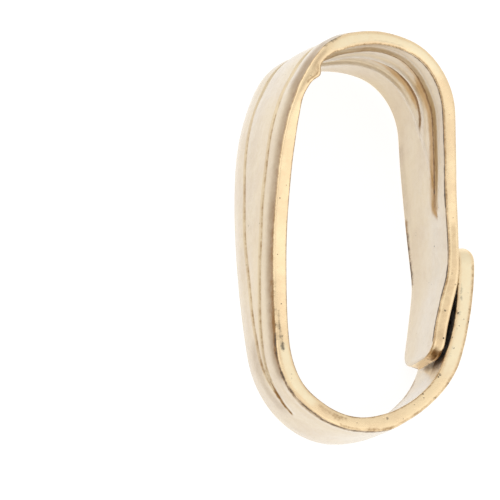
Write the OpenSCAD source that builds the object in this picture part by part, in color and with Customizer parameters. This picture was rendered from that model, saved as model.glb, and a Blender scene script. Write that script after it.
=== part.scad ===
// Fold-over pendant bail: one tapered strip of sheet metal with two pressed flutes,
// bent into a loop whose tab laps over the tongue at the back.
// It lies on its side as it rests. X runs from the front face to the back, Y from the
// foot to the fold and Z across the strip. The origin is the middle of the underside.

/* [Loop] */
// Height of the loop, from the foot to the top of the fold
bail_h = 12; // [9:0.5:24]
// Depth of the loop, from the front face to the back
loop_d = 6; // [4.5:0.05:12]
// Thickness of the sheet
sheet_t = 0.42; // [0.25:0.01:0.6]
// Rounding of the sheet's long edges
edge_r = 0.08; // [0.03:0.01:0.11]

/* [Strip] */
// Width of the strip over the fold
top_w = 5.3; // [4.2:0.05:8]
// Width of the strip at the foot, the tongue and the tab
foot_w = 2.85; // [2.2:0.05:4]
// Length of the tab that laps over the tongue
tab_l = 3.35; // [1.5:0.05:4.5]
// Clear space between the tongue's tip and the tab
tab_gap = 0.13; // [0.06:0.01:0.3]
// Corner radius of the tab's end
tab_r = 0.5; // [0.2:0.05:0.9]
// Length of the tongue's rounded tip
tongue_r = 0.6; // [0.3:0.05:1]

/* [Flutes] */
// Depth of the pressed flutes
flute_d = 0.16; // [0.08:0.01:0.24]
// Width of one flute on the outside
flute_w = 0.36; // [0.3:0.01:0.6]
// Distance between the two flutes over the fold
flute_gap = 2.8; // [1.8:0.05:3.4]
// Sideways shift of both flutes from the middle of the strip
flute_shift = 0.17; // [-0.25:0.01:0.25]
// Amount that the side edges are drawn in at the fold
edge_draw = 0.12; // [0:0.01:0.3]
// Width of the drawn-in zone along each side edge
draw_w = 0.6; // [0.3:0.05:0.7]
// Height of the low crest along the middle of the fold's inner side
crest_h = 0.09; // [0:0.01:0.15]

/* [Hidden] */

// Stretches of the loop from the tongue's tip round to it again:
// [share of the loop's length, turn in degrees]
LOOP = [
    [0.013, 8.5],  // tongue's tip
    [0.061, 0.5],  // tongue
    [0.024, 15.5], // bend above the tab
    [0.141, -2],   // back
    [0.086, 71],   // back shoulder
    [0.075, 29],   // fold
    [0.059, 53],   // front shoulder
    [0.089, 19.5], // upper front
    [0.188, 16.5], // lower front
    [0.135, 77],   // front of the foot
    [0.129, 72],   // back of the foot
];
// Direction of the strip at the tongue's tip, in degrees above the horizontal
START = 70;
// Place where the foot starts to move out, round the tongue, as a share of the loop
LAP_START = 0.87;
// Clear space at the tab's end, as a share of that at the tongue's tip
END_GAP = 0.4;

// Width of the strip: [place as a share of the loop, share from foot width to top width]
WIDTH = [
    [0, 0], [0.1, 0.24], [0.155, 0.38], [0.3, 0.66], [0.37, 0.88], [0.43, 1],
    [0.48, 0.92], [0.57, 0.52], [0.67, 0.13], [0.75, 0], [1.3, 0],
];
// Spacing of the flutes: [place, share of the spacing at the fold]
SPREAD = [
    [0, 0.1], [0.14, 0.1], [0.18, 0.4], [0.23, 0.66], [0.3, 0.88], [0.37, 1],
    [0.46, 1.02], [0.54, 0.7], [0.62, 0.43], [0.7, 0.19], [0.757, 0.1], [1.3, 0.1],
];
// Depth of the flutes: [place, share of their full depth]
PRESS = [
    [0, 0], [0.13, 0], [0.165, 0.8], [0.22, 1], [0.66, 1], [0.73, 0.8],
    [0.768, 0], [1.3, 0],
];
// Drawn-in side edges: [place, share of the amount at the fold]
DRAW = [
    [0, 0.1], [0.14, 0.1], [0.3, 0.3], [0.37, 0.5], [0.41, 1], [0.44, 0.5],
    [0.5, 0.2], [0.66, 0.1], [0.75, 0.1], [1.3, 0.1],
];
// Crest on the inner side of the fold: [place, share of its height]
CREST = [[0, 0], [0.2, 0], [0.29, 1], [0.42, 1], [0.47, 0], [1.3, 0]];

// Longest step of a bend in degrees, and of a straight as a share of the loop
BEND_STEP = 5.6;
STRAIGHT_STEP = 0.022;
// Step in degrees round the corners of the two ends
CORNER_STEP = 18;
// Steps along the tab
TAB_STEPS = 9;
// Share of the half width that the tongue's tip loses as it rounds off
TIP_SHARE = 0.75;
// Width of an inner ridge beside that of its flute
RIDGE_RATIO = 1.7;
// Half width of the crest beside that of a flute
CREST_RATIO = 1.2;
// Places of the columns of points across a lobe, as shares of its width
SIDE_LOBE = [0.16, 0.4, 0.72];
MID_LOBE = [0.22, 0.5, 0.78];

function total(list, col, i = 0) = i < len(list) ? list[i][col] + total(list, col, i + 1) : 0;
function smooth(x) = let(t = min(max(x, 0), 1)) t * t * (3 - 2 * t);
function bump(x) = abs(x) < 1 ? (1 + cos(180 * x)) / 2 : 0;

// Smooth curve through the rows [place, value] of a table
function row_at(u, table, i = 0) =
    (i >= len(table) - 2 || u < table[i + 1][0]) ? i : row_at(u, table, i + 1);
function rise(table, i) =
    (table[i + 1][1] - table[i][1]) / (table[i + 1][0] - table[i][0]);
function slope_at(table, i) =
    (i <= 0 || i >= len(table) - 1) ? 0
    : let(a = rise(table, i - 1), b = rise(table, i)) a * b <= 0 ? 0 : 2 * a * b / (a + b);
function curve_at(u, table) =
    let(
        i = row_at(u, table),
        h = table[i + 1][0] - table[i][0],
        t = min(max((u - table[i][0]) / h, 0), 1)
    )
    table[i][1] * (1 + 2 * t) * pow(1 - t, 2)
    + slope_at(table, i) * h * t * pow(1 - t, 2)
    + table[i + 1][1] * t * t * (3 - 2 * t)
    + slope_at(table, i + 1) * h * t * t * (t - 1);

// The closed loop line, as stations [place, direction]
loop_share = total(LOOP, 0);
loop_turn = total(LOOP, 1) / 360;
function steps_of(row) = ceil(max(abs(row[1]) / BEND_STEP, row[0] / STRAIGHT_STEP));
row_start = [
    for (i = 0, u = 0, a = START; i <= len(LOOP);
        u = u + (i < len(LOOP) ? LOOP[i][0] / loop_share : 0),
        a = a + (i < len(LOOP) ? LOOP[i][1] / loop_turn : 0),
        i = i + 1)
        [u, a]
];
stations = [
    for (i = [0 : len(LOOP) - 1])
        for (k = [0 : steps_of(LOOP[i]) - 1])
            row_start[i] + (row_start[i + 1] - row_start[i]) * k / steps_of(LOOP[i]),
    row_start[len(LOOP)]
];
last = len(stations) - 1;

// Walked points of the loop line, closed and stretched to the named height and depth
walked = [
    for (j = 0, p = [0, 0]; j <= last;
        p = j < last
            ? let(
                a = (stations[j][1] + stations[j + 1][1]) / 2,
                s = stations[j + 1][0] - stations[j][0]
            ) p + s * [cos(a), sin(a)]
            : p,
        j = j + 1)
        p
];
closed = [for (j = [0 : last]) walked[j] - stations[j][0] * walked[last]];
low = [min([for (p = closed) p[0]]), min([for (p = closed) p[1]])];
high = [max([for (p = closed) p[0]]), max([for (p = closed) p[1]])];
room = [loop_d - sheet_t, bail_h - sheet_t];
line = [
    for (p = closed)
        [for (k = [0, 1]) (p[k] - low[k]) / (high[k] - low[k]) * room[k] + sheet_t / 2]
];
loop_len = total([for (j = [1 : last]) [norm(line[j] - line[j - 1])]], 0);
across = [for (j = [0 : last]) [stations[j][0], line[j][0]]];
upward = [for (j = [0 : last]) [stations[j][0], line[j][1]]];
function wrap(u) = u - floor(u);
function on_line(u) = [lookup(wrap(u), across), lookup(wrap(u), upward)];

// Places of the strip's sections: rounded tongue tip, loop, tab and its rounded end
lap = tab_l / loop_len;
tip = tongue_r / loop_len;
corner = tab_r / loop_len;
end_place = 1 + lap;
places = concat(
    [for (a = [0 : CORNER_STEP : 90]) tip * (1 - cos(a))],
    [for (s = stations) if (s[0] > tip * 1.15 && s[0] <= 1) s[0]],
    [for (k = [1 : TAB_STEPS - 1]) 1 + (lap - corner) * k / TAB_STEPS],
    [for (a = [90 : -CORNER_STEP : 0]) end_place - corner * (1 - cos(a))]
);
count = len(places);

// Middle line of the strip: the tab runs outside the tongue, one sheet and a gap away
NEAR = 0.004;
function gap_at(u) = tab_gap * (1 - (1 - END_GAP) * smooth((u - 1) / lap));
function unit(v) = v / norm(v);
function outward(a, b) = let(d = unit(b - a)) [d[1], -d[0]];
spine = [
    for (u = places)
        on_line(u) + (sheet_t + gap_at(u)) * smooth((u - LAP_START) / (1 - LAP_START))
            * outward(on_line(u - NEAR), on_line(u + NEAR))
];
normals = [
    for (k = [0 : count - 1])
        outward(spine[max(k - 1, 0)], spine[min(k + 1, count - 1)])
];

// Half width at a place, with the rounded tongue tip and the tab's rounded corners
function round_off(way, r) = way < r ? 1 - sqrt(max(1 - pow(1 - way / r, 2), 0)) : 0;
function half_at(u) =
    let(h = (foot_w + (top_w - foot_w) * curve_at(u, WIDTH)) / 2)
    h - TIP_SHARE * h * round_off(u * loop_len, tongue_r)
    - tab_r * round_off((end_place - u) * loop_len, tab_r);

// Column places across the strip: side lobe, flute, middle lobe, flute, side lobe
function blend(a, b, shares) = [for (s = shares) a + (b - a) * s];
function squeeze(h) = min(1, h * 2 / foot_w);
function flute_sides(u, h) =
    let(
        mid = flute_shift * squeeze(h),
        half = flute_gap / 2 * curve_at(u, SPREAD) * squeeze(h)
    )
    [mid - half, mid + half];
function columns(u, h) =
    let(
        f = flute_sides(u, h),
        o = flute_w / 2 * squeeze(h),
        n = min(o, (f[1] - f[0]) * 0.42),
        e = h - edge_r
    )
    concat(
        [-e], blend(-e, f[0] - o, SIDE_LOBE),
        [f[0] - o, f[0] - o / 2, f[0], f[0] + n / 2, f[0] + n],
        blend(f[0] + n, f[1] - n, MID_LOBE),
        [f[1] - n, f[1] - n / 2, f[1], f[1] + o / 2, f[1] + o],
        blend(e, f[1] + o, [SIDE_LOBE[2], SIDE_LOBE[1], SIDE_LOBE[0]]), [e]
    );

// How far the sheet is pressed in at x, over flutes that are w wide
function pressed(u, h, x, w) =
    let(f = flute_sides(u, h), s = w / 2 * squeeze(h))
    flute_d * curve_at(u, PRESS) * max(bump((x - f[0]) / s), bump((x - f[1]) / s))
    + edge_draw * curve_at(u, DRAW) * pow(max(1 - (h - abs(x)) / draw_w, 0), 2);
function crest(u, x) =
    crest_h * curve_at(u, CREST) * bump((x - flute_shift) / (CREST_RATIO * flute_w));

// One section of the strip as a ring of [sideways, outward] points
function section(u) =
    let(
        h = half_at(u),
        xs = columns(u, h),
        t = sheet_t / 2,
        n = len(xs),
        out = [for (x = xs) t - pressed(u, h, x, flute_w)],
        in = [for (x = xs) -t - pressed(u, h, x, RIDGE_RATIO * flute_w) - crest(u, x)]
    )
    concat(
        [for (i = [0 : n - 1]) [xs[i], out[i]]],
        [[h, out[n - 1] - edge_r], [h, in[n - 1] + edge_r]],
        [for (i = [n - 1 : -1 : 0]) [xs[i], in[i]]],
        [[-h, in[0] + edge_r], [-h, out[0] - edge_r]]
    );
ring = len(section(0.5));
cols = (ring - 4) / 2;

// The bail as it lies: its side edge touches the ground at three places, on the back,
// at the front of the fold and on the foot
REST = [0.15, 0.43, 0.93];
function edge_point(u) = let(p = on_line(u)) [p[0], p[1], -half_at(u)];
foot_edge = edge_point(REST[2]);
ground = unit(cross(edge_point(REST[0]) - foot_edge, edge_point(REST[1]) - foot_edge));
lean = asin(ground[1]);
twist = atan(-ground[0] / ground[2]);
function lay(side, deep, tall) =
    let(
        x = deep * cos(twist) + side * sin(twist),
        z = side * cos(twist) - deep * sin(twist)
    )
    [x, tall * cos(lean) - z * sin(lean), tall * sin(lean) + z * cos(lean)];
rested = [
    for (k = [0 : count - 1])
        for (q = section(places[k]))
            lay(q[0], spine[k][0] + normals[k][0] * q[1], spine[k][1] + normals[k][1] * q[1])
];
function middle(axis) =
    (min([for (p = rested) p[axis]]) + max([for (p = rested) p[axis]])) / 2;
seat = [middle(0), middle(1), min([for (p = rested) p[2]])];

// Side walls between neighbouring sections, and the two end faces
function wall(k, i) =
    let(a = k * ring + i, b = k * ring + (i + 1) % ring)
    [[a, b, b + ring], [a, b + ring, a + ring]];
walls = [for (k = [0 : count - 2]) for (i = [0 : ring - 1]) for (f = wall(k, i)) f];
end_face = concat(
    [for (i = [0 : cols - 2]) [i, ring - 3 - i, ring - 4 - i, i + 1]],
    [[cols - 1, cols + 2, cols + 1, cols], [0, ring - 1, ring - 2, ring - 3]]
);
function flipped(face) = [for (i = [len(face) - 1 : -1 : 0]) face[i]];

module bail() {
    color("gold")
        translate(-seat)
            polyhedron(
                points = rested,
                faces = concat(
                    walls,
                    end_face,
                    [for (f = end_face) flipped(f) + (count - 1) * ring * [1, 1, 1, 1]]
                )
            );
}

bail();
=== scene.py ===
"""A fold-over pendant bail that lies on its side on a pale studio floor.

The bail is one strip of gold-coloured sheet. Its flat shape is laid along a closed loop
line, pressed with two flutes and given the rolled lips, the burr and the soiling of a
worn piece, with painted shade and painted sheen in its colour. Sizes are in millimetres
until a mesh is made.
"""

import logging
import math
from dataclasses import dataclass, field
from enum import Enum
from typing import Any

import bpy
import numpy as np
from mathutils import Matrix, Vector


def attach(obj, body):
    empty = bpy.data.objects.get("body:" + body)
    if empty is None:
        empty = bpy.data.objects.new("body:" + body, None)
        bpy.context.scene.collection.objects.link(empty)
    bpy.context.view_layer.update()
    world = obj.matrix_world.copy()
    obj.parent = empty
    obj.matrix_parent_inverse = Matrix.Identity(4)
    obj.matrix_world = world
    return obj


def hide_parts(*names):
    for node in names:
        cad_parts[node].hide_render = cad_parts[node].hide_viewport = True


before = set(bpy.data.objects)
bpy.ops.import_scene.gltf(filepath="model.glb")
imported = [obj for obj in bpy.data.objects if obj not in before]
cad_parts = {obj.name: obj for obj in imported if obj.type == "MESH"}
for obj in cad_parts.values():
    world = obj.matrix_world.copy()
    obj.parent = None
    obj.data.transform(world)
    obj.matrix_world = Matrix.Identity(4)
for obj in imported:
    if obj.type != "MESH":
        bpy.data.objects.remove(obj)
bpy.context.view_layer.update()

Array = np.ndarray
Colour = tuple[float, float, float, float]
MM = 0.001
PICTURE = 500
log = logging.getLogger("bail")


def smooth(x: Array) -> Array:
    """Give 0 below 0, 1 above 1 and the curve 3x^2 - 2x^3 between them."""
    t = np.clip(x, 0.0, 1.0)
    return t * t * (3.0 - 2.0 * t)


def hill(x: Array) -> Array:
    """Give a cosine hill: 1 at x = 0, falling to 0 at x = -1 and x = 1."""
    return np.where(np.abs(x) < 1.0, 0.5 + 0.5 * np.cos(np.pi * np.clip(x, -1, 1)), 0.0)


def bell(x: Array, middle: float, width: float) -> Array:
    """Give a bell curve, exp(-((x - middle) / width)^2)."""
    return np.exp(-(((x - middle) / width) ** 2))


def square_to(ahead: Array, behind: Array) -> Array:
    """Turn the ways between two rows of points by a quarter, at length 1.

    Args:
        ahead, behind: The ends and the beginnings of the ways, in two coordinates.

    Returns:
        Unit vectors, each (way's second part, less its first part) over its length.
    """
    way = ahead - behind
    way /= np.linalg.norm(way, axis=-1, keepdims=True)
    return np.stack([way[..., 1], -way[..., 0]], -1)


def put(name: str, data: Any) -> bpy.types.Object:
    """Put a new object into the scene.

    Args:
        name: The object's name.
        data: Its mesh, light or camera.

    Returns:
        The object.
    """
    made = bpy.data.objects.new(name, data)
    bpy.context.scene.collection.objects.link(made)
    return made


@dataclass(frozen=True)
class Curve:
    """A smooth curve through rows of (place, value) that stays between its rows."""

    rows: tuple[tuple[float, float], ...]

    def at(self, u: Array) -> Array:
        """Work out the curve's values.

        Between two rows it is the cubic whose end slopes are the harmonic means of the
        rises on both sides, or zero where the rise changes sign.

        Args:
            u: Places along the strip.

        Returns:
            One value for each place.
        """
        x, y = np.array(self.rows).T
        rise = np.diff(y) / np.diff(x)
        a, b = rise[:-1], rise[1:]
        same = a * b > 0
        mean = np.where(same, 2 * a * b / np.where(same, a + b, 1.0), 0.0)
        slope = np.concatenate([[0.0], mean, [0.0]])
        i = np.clip(np.searchsorted(x, u, side="right") - 1, 0, len(x) - 2)
        h = x[i + 1] - x[i]
        t = np.clip((u - x[i]) / h, 0.0, 1.0)
        return (
            y[i] * (1 + 2 * t) * (1 - t) ** 2
            + slope[i] * h * t * (1 - t) ** 2
            + y[i + 1] * t * t * (3 - 2 * t)
            + slope[i + 1] * h * t * t * (t - 1)
        )


@dataclass
class LoopLine:
    """The closed middle line of the loop, in a plane of depth and height.

    Attributes:
        height: Height of the loop over the sheet.
        depth: Depth of the loop over the sheet.
        sheet: Thickness of the sheet.
        rows: Stretches of the line as (share of its length, turn in degrees).
        start: Direction at the tongue's tip, in degrees above the horizontal.
        ease: Share of the line over which one bend passes into the next.
    """

    height: float
    depth: float
    sheet: float
    rows: tuple[tuple[float, float], ...] = (
        (0.013, 8.5), (0.061, 0.5), (0.024, 15.5), (0.141, -2.0), (0.086, 71.0), (0.075, 29.0),
        (0.059, 53.0), (0.089, 19.5), (0.188, 16.5), (0.135, 77.0), (0.129, 72.0),
    )
    start: float = 70.0
    ease: float = 0.02
    STEPS = 3000
    places: Array = field(init=False)
    points: Array = field(init=False)
    length: float = field(init=False)

    def __post_init__(self) -> None:
        """Walk the line, close it and stretch it to the named height and depth.

        The direction rises by each stretch's turn. The points are the running sum of
        (cos, sin) of the direction, less a share of the closing error at each place.
        """
        n = self.STEPS
        u = np.arange(n) / n
        share, turn = np.array(self.rows).T
        edge = np.concatenate([[0.0], np.cumsum(share) / share.sum()])
        angle = self.start + np.concatenate([[0.0], np.cumsum(turn) / turn.sum()]) * 360
        wave = np.interp(u, edge, angle) - 360 * u
        reach = int(self.ease * n / 2)
        kernel = np.hanning(2 * reach + 1)
        kernel /= kernel.sum()
        wave = np.convolve(np.concatenate([wave[-reach:], wave, wave[:reach]]), kernel, "valid")
        way = np.radians(wave + 360 * u)
        walked = np.cumsum(np.stack([np.cos(way), np.sin(way)], 1), 0) / n
        walked -= walked[0]
        closed = walked - u[:, None] * (walked[-1] + (walked[-1] - walked[-2]))
        low, high = closed.min(0), closed.max(0)
        room = np.array([self.depth, self.height]) - self.sheet
        self.places = u
        self.points = (closed - low) / (high - low) * room + self.sheet / 2
        self.length = float(np.linalg.norm(np.diff(self.points, axis=0), axis=1).sum())

    def at(self, u: Array) -> Array:
        """Give the (depth, height) of the line at places, which wrap round at 1."""
        depth, height = (np.interp(u, self.places, part, period=1.0) for part in self.points.T)
        return np.stack([depth, height], -1)

    def outward(self, u: Array) -> Array:
        """Give the unit vector at places that points out of the loop."""
        step = 0.004
        return square_to(self.at(u + step), self.at(u - step))


@dataclass(frozen=True)
class Lump:
    """A lump on the sheet: a bell curve along and across the strip.

    Attributes:
        along, across: Middle of the lump, in millimetres on the flat strip.
        length, width: Half widths of its bell curves.
        height: How far it stands off the sheet.
    """

    along: float
    across: float
    length: float
    width: float
    height: float

    def at(self, along: Array, across: Array) -> Array:
        """Give the lump's height at points of the flat strip."""
        near = bell(along, self.along, self.length)
        return self.height * near * bell(across, self.across, self.width)


@dataclass
class Strip:
    """The pressed and bent strip: its sizes, its shape and what lies on it.

    Attributes:
        height, depth, sheet: Size of the loop and thickness of the sheet.
        lip: Rounding of the sheet's edges.
        top_width, foot_width: Width over the fold, and at the foot, tongue and tab.
        tab_length, tab_gap, tab_corner: Lap of the tab, its clear space and its corners.
        tab_bevel: How far the tab's outer face falls off at its worn end.
        tongue_tip: Length of the tongue's rounded tip.
        flute_depth, flute_width: The two pressed flutes.
        edge_draw, draw_width: Amount and width of the drawn-in side edges at the fold.
        crest: Height of the low crest inside the fold.
        bow: How far the sheet arches outwards between its side edges.
        crown: How far a lobe falls off towards its flutes and side edges.
        stations, lobe, groove, band: Steps along the strip, across a lobe, across a
            flute and over the thickness of the sheet.
        burr: The lump that stands into the loop under the near edge's front shoulder.
    """

    height: float = 12.0
    depth: float = 6.0
    sheet: float = 0.42
    lip: float = 0.055
    top_width: float = 5.3
    foot_width: float = 2.85
    tab_length: float = 3.24
    tab_gap: float = 0.13
    tab_corner: float = 0.5
    tab_bevel: float = 0.17
    tongue_tip: float = 0.5
    flute_depth: float = 0.2
    flute_width: float = 0.36
    edge_draw: float = 0.12
    draw_width: float = 0.6
    crest: float = 0.1
    bow: float = 0.09
    crown: float = 0.06
    stations: int = 560
    lobe: int = 8
    groove: int = 15
    band: int = 4
    burr: Lump = Lump(13.33, 2.6, 0.2, 0.25, 0.14)

    # Tables over the place along the strip, in shares of the loop's length.
    # Share of the way from the foot's width to the top width.
    WIDTH = Curve(
        ((0, 0), (0.1, 0.24), (0.155, 0.38), (0.3, 0.66), (0.37, 0.88), (0.43, 1), (0.48, 0.92),
         (0.57, 0.52), (0.67, 0.13), (0.75, 0), (1.3, 0))
    )
    # Place across of the middle between the two flutes, and half their spacing.
    MIDDLE = Curve(
        ((0, 0.77), (0.15, 0.77), (0.183, 0.755), (0.213, 0.58), (0.244, 0.22), (0.271, 0.08),
         (0.291, 0.12), (0.321, 0.17), (0.37, 0.21), (0.44, 0.1), (0.53, 0.13), (0.62, 0.14),
         (0.7, 0.11), (0.75, 0.14), (0.77, 0.21), (0.785, 0.28), (0.805, 0.1), (1.3, 0.1))
    )
    SPREAD = Curve(
        ((0, 0.05), (0.15, 0.05), (0.183, 0.24), (0.213, 0.48), (0.244, 0.81), (0.271, 0.93),
         (0.291, 1.0), (0.321, 1.12), (0.35, 1.25), (0.38, 1.34), (0.44, 1.36), (0.48, 1.28),
         (0.53, 1.1), (0.62, 0.7), (0.7, 0.33), (0.74, 0.19), (0.77, 0.09), (0.785, 0.04),
         (1.3, 0.04))
    )
    # Share of the flutes' depth.
    PRESS = Curve(
        ((0, 0), (0.14, 0.1), (0.16, 0.4), (0.2, 0.6), (0.26, 0.7), (0.34, 0.9), (0.38, 1),
         (0.44, 1), (0.5, 0.45), (0.56, 0.36), (0.72, 0.34), (0.78, 0.22), (0.8, 0.1), (1.3, 0))
    )
    # Offsets of the near and the far edge from the loop line, outwards.
    NEAR = Curve(
        ((0, -0.09), (0.03, -0.11), (0.05, -0.09), (0.08, -0.03), (0.12, 0.0), (0.16, -0.015),
         (0.2, 0.015), (0.27, 0.038), (0.36, 0.016), (0.4, -0.039), (0.415, -0.043),
         (0.43, 0.014), (0.46, 0.068), (0.49, 0.158), (0.51, 0.13), (0.54, 0.07), (0.6, 0.02),
         (0.66, 0.0), (0.72, 0.045), (0.78, 0.136), (0.82, 0.06), (0.88, 0.03), (0.905, -0.02),
         (0.93, -0.14), (0.96, -0.2), (0.98, -0.185), (1.0, -0.148), (1.03, -0.04),
         (1.055, 0.0), (1.08, -0.02), (1.1, 0.01), (1.112, 0.045))
    )
    FAR = Curve(
        ((0, 0.0), (0.08, 0.02), (0.2, 0.03), (0.25, 0.06), (0.33, 0.07), (0.4, -0.004),
         (0.44, 0.014), (0.5, 0.045), (0.8, 0.045), (0.87, 0.07), (0.9, 0.02), (0.96, -0.1),
         (1.03, -0.02), (1.1, 0.03))
    )
    # What the sheet gains in thickness at the near edge.
    THICKER = Curve(
        ((0, -0.03), (0.06, -0.015), (0.11, -0.09), (0.16, -0.05), (0.2, -0.04), (0.25, -0.02),
         (0.29, -0.06), (0.34, -0.01), (0.41, 0.05), (0.43, -0.03), (0.445, -0.1),
         (0.47, -0.08), (0.49, -0.13), (0.51, -0.06), (0.55, 0), (0.66, 0.02), (0.72, 0),
         (0.76, 0.04), (0.8, 0.01), (0.87, 0), (0.905, 0.1), (0.93, 0.04), (0.96, 0.02),
         (0.985, 0.06), (1.0, 0.1), (1.04, 0.07), (1.08, 0.12), (1.112, 0.1))
    )
    # Shares of the bow and of the edges' draw.
    BOW = Curve(
        ((0, 0), (0.1, 0.6), (0.16, 1), (0.34, 1), (0.39, 0.2), (0.45, 0.2), (0.52, 1),
         (0.6, 1), (0.76, 0.7), (0.84, 0.1), (1, 0.05), (1.04, 0.3), (1.1, 0.7), (1.3, 0.7))
    )
    DRAW = Curve(((0, 0.1), (0.14, 0.1), (0.3, 0.2), (0.5, 0.2), (0.66, 0.1), (1.3, 0.1)))
    # Share of the crest's height, and its place across.
    CREST = Curve(((0, 0), (0.2, 0), (0.25, 0.45), (0.285, 1), (0.42, 1), (0.47, 0), (1.3, 0)))
    CREST_PLACE = Curve(
        ((0, -0.08), (0.235, -0.06), (0.256, 0.1), (0.275, 0.2), (0.3, 0.18), (0.33, 0.13),
         (0.35, 0.0), (0.385, -0.15), (0.42, -0.2), (1.3, -0.3))
    )
    # Share of the crown, full over the fold.
    FOLD = Curve(((0, 0.3), (0.3, 0.4), (0.36, 1), (0.48, 1), (0.56, 0.4), (1.3, 0.3)))
    # The sheet's unevenness: its height, and sines as (size, along, across, shift).
    UNEVEN = 0.005
    WAVES = ((1.0, 1.9, 1.3, 0.0), (1.0, 3.1, -2.3, 1.0), (0.6, 0.9, 4.1, 2.0))
    # Way over which a lobe falls off towards a flute, and towards the rim.
    FLUTE_FALL = 0.4
    RIM_FALL = 0.38
    # Height of the raised shoulders beside a flute, and the inner ridge's share of its depth.
    SHOULDER = 0.012
    INSIDE_SHARE = 0.65
    RIDGE_RATIO = 1.25
    # Place below which the far ridge grows faint.
    FAINT_BELOW = 0.31
    # Length of the tab's bevel, and how far the sheared bands bulge.
    BEVEL_LENGTH = 0.4
    BULGE = 0.006
    # Where the tab begins to stand off, and the share of its gap left at its end.
    LAP_START = 0.87
    END_GAP = 0.42
    # Share of the half width that the tongue's round tip takes off.
    TIP_SHARE = 0.5
    # Places of the flutes' two tips, and those of the edge that touch the ground.
    BACK_TIP = 0.152
    FRONT_TIP = 0.803
    REST = (0.15, 0.43, 0.93)
    LIP_STEPS = 5

    line: LoopLine = field(init=False)
    seat: Array = field(init=False)
    turn: Array = field(init=False)

    def __post_init__(self) -> None:
        """Work out the loop line and how the bail lies."""
        self.line = LoopLine(self.height, self.depth, self.sheet)
        self.turn = self._lie()
        self.seat = np.zeros(3)

    @property
    def end(self) -> float:
        """Place of the tab's end, past one whole turn of the loop."""
        return 1.0 + self.tab_length / self.line.length

    def half_width(self, u: Array) -> Array:
        """Work out half the strip's width.

        It is the table's blend of foot and top width, less the rounded tongue tip and
        the tab's rounded corners, each a quarter of an ellipse.

        Args:
            u: Places along the strip.

        Returns:
            Half widths.
        """
        def corner(way: Array, r: float) -> Array:
            """Give 1 at the end, falling to 0 at a radius from it by a quarter circle."""
            return 1 - np.sqrt(1 - np.clip(1 - np.clip(way, 0, None) / r, 0, 1) ** 2)

        h = (self.foot_width + (self.top_width - self.foot_width) * self.WIDTH.at(u)) / 2
        return (
            h
            - self.TIP_SHARE * h * corner(u * self.line.length, self.tongue_tip)
            - self.tab_corner * corner((self.end - u) * self.line.length, self.tab_corner)
        )

    def _lie(self) -> Array:
        """Work out the turn that lays three places of the side edge on the ground.

        The rows of the matrix are the world's X, Y and Z as seen by a point given as
        (side, depth, height). Z is square to the plane through the three places.

        Returns:
            A 3 by 3 matrix.
        """
        u = np.array(self.REST)
        flat = self.line.at(u)
        touch = np.column_stack([flat, -self.half_width(u)])
        ground = np.cross(touch[0] - touch[2], touch[1] - touch[2])
        ground /= np.linalg.norm(ground)
        lean = math.asin(ground[1])
        twist = math.atan(-ground[0] / ground[2])
        cl, sl, ct, st = math.cos(lean), math.sin(lean), math.cos(twist), math.sin(twist)
        return np.array([[st, ct, 0.0], [-ct * sl, st * sl, cl], [ct * cl, -st * cl, sl]])

    def places(self) -> Array:
        """Choose the stations along the strip, close together at its rounded ends.

        Returns:
            Places along the strip, rising.
        """
        tip = self.tongue_tip / self.line.length
        corner = self.tab_corner / self.line.length
        quarter = np.linspace(0, np.pi / 2, 15)
        return np.concatenate(
            [
                tip * (1 - np.cos(quarter)),
                np.linspace(tip, self.end - corner, self.stations)[1:-1],
                self.end - corner * (1 - np.cos(quarter[::-1])),
            ]
        )

    def spine(self, u: Array) -> tuple[Array, Array]:
        """Work out the strip's middle line and its outward direction.

        The tab and the foot before it run outside the tongue by one sheet and the
        gap, which narrows towards the tab's end.

        Args:
            u: Places along the strip.

        Returns:
            Points and unit vectors, each as (depth, height).
        """
        def offset(v: Array) -> Array:
            """Give the line's points, moved outwards by the lap."""
            out = gap(v) * smooth((v - self.LAP_START) / (1 - self.LAP_START))
            return self.line.at(v) + out[:, None] * self.line.outward(v)

        def gap(v: Array) -> Array:
            """Give one sheet and the tab's clear space."""
            narrowed = (1 - self.END_GAP) * smooth((v - 1) / (self.end - 1))
            return self.sheet + self.tab_gap * (1 - narrowed)

        step = 0.003
        return offset(u), square_to(offset(u + step), offset(u - step))

    def squeeze(self, h: Array) -> Array:
        """Give the share of the foot's width that is left, below 1 in the rounded ends."""
        return np.minimum(1.0, 2 * h / self.foot_width)

    def flute_lines(self, u: Array, h: Array) -> tuple[Array, Array]:
        """Give the middle and the half spacing of the two flutes at each place."""
        return self.MIDDLE.at(u) * self.squeeze(h), self.SPREAD.at(u) * self.squeeze(h)

    def flat_outline(self, u: Array, h: Array) -> tuple[Array, Array]:
        """Place the columns of points across the strip and find their distance to its rim.

        The columns stand close together at the two rolled lips and over the flutes. The
        distance to the rim is that to the side edge, over the root of 1 plus the square
        of the edge's slope, or that to the nearer end if it is less.

        Args:
            u: Places along the strip.
            h: Half widths there.

        Returns:
            Places across the strip and distances to the rim, a row for each station.
        """
        middle, half = self.flute_lines(u, h)
        reach = 0.75 * self.flute_width * self.squeeze(h)
        inner = np.minimum(reach, 0.94 * half)
        edge = h - self.lip
        knots = np.stack(
            [-edge, middle - half - reach, middle - half + inner,
             middle + half - inner, middle + half + reach, edge], 1,
        )
        counts = (self.lobe, self.groove, 2 * self.lobe + 6, self.groove, self.lobe)
        parts = [
            knots[:, k, None] + (knots[:, k + 1] - knots[:, k])[:, None] * np.arange(n) / n
            for k, n in enumerate(counts)
        ]
        turned = np.arange(self.LIP_STEPS) / self.LIP_STEPS * np.pi / 2
        rolled = self.lip * (1 - np.cos(turned)) - h[:, None]
        across = np.concatenate([rolled, *parts, edge[:, None], -rolled[:, ::-1]], 1)
        slope = np.gradient(h, u * self.line.length)
        rim = (h[:, None] - np.abs(across)) / np.sqrt(1 + slope[:, None] ** 2)
        ends = np.minimum(u, self.end - u) * self.line.length
        return across, np.minimum(rim, ends[:, None])

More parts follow.
